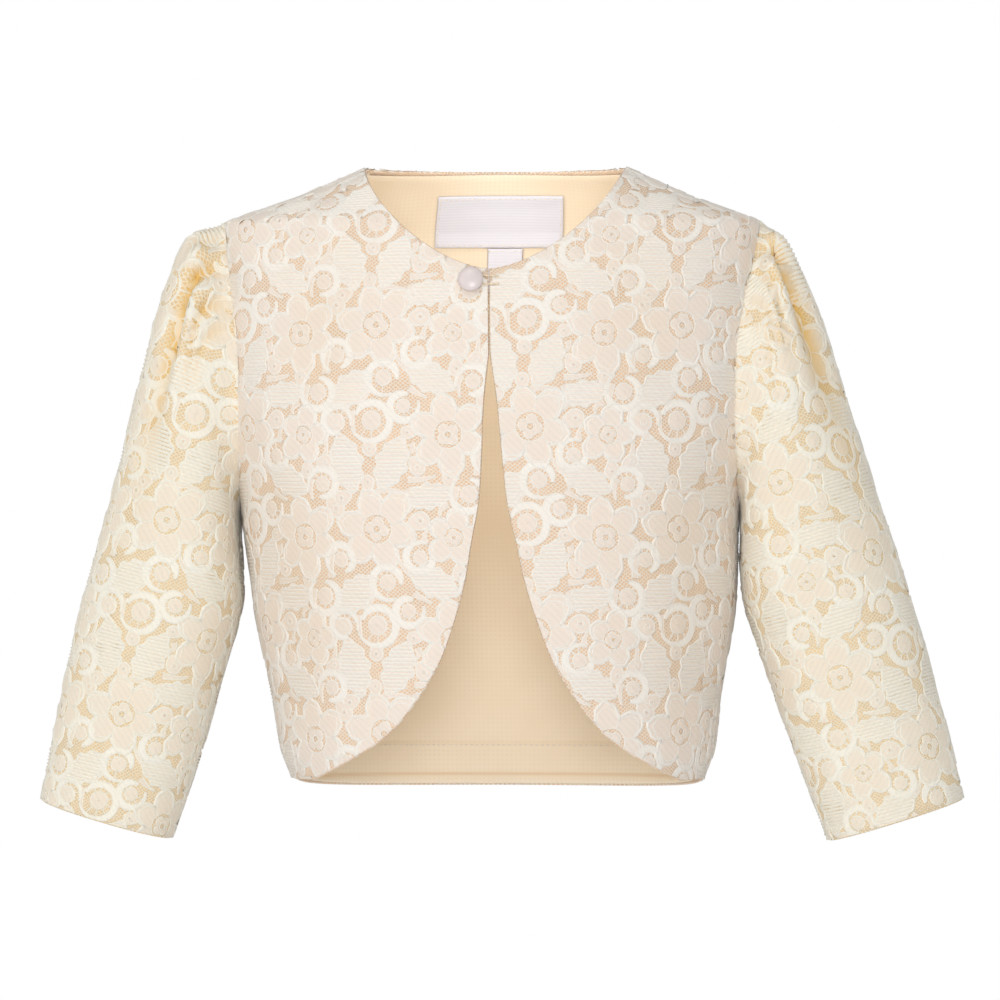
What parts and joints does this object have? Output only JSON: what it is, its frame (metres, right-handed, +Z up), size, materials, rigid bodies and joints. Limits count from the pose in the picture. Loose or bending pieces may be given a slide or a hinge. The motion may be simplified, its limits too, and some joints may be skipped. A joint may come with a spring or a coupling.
{
  "type": "child's bolero jacket",
  "caption": "Cropped child's bolero of ivory floral lace over a plain lining, with gathered three-quarter sleeves, cut-away fronts and a dome button at the neck.",
  "frame": {"origin": "inside the neck opening, midway between the shoulder seams, 14 mm below the points where they meet the neckline", "axes": "+Z up as worn, -Y to the wearer's front, +X to the wearer's left"},
  "size_m": [0.4595, 0.1566, 0.337],
  "materials": {
    "lace": "raised floral lace over peach lining",
    "sleeve_lace": "raised floral lace, yellower ivory",
    "lining": "plain fine weave",
    "label": "satin tape, bare",
    "button": "pearly",
    "loop": "twisted thread"
  },
  "bodies": {
    "root": {"front_left": "lace", "front_right": "lace", "back": "lace", "sleeve_left": "sleeve_lace", "sleeve_right": "sleeve_lace", "lining_front_left": "lining", "lining_front_right": "lining", "lining_back": "lining", "label": "label", "size_tab": "label", "button": "button", "button_loop": "loop"}
  },
  "joints": []
}
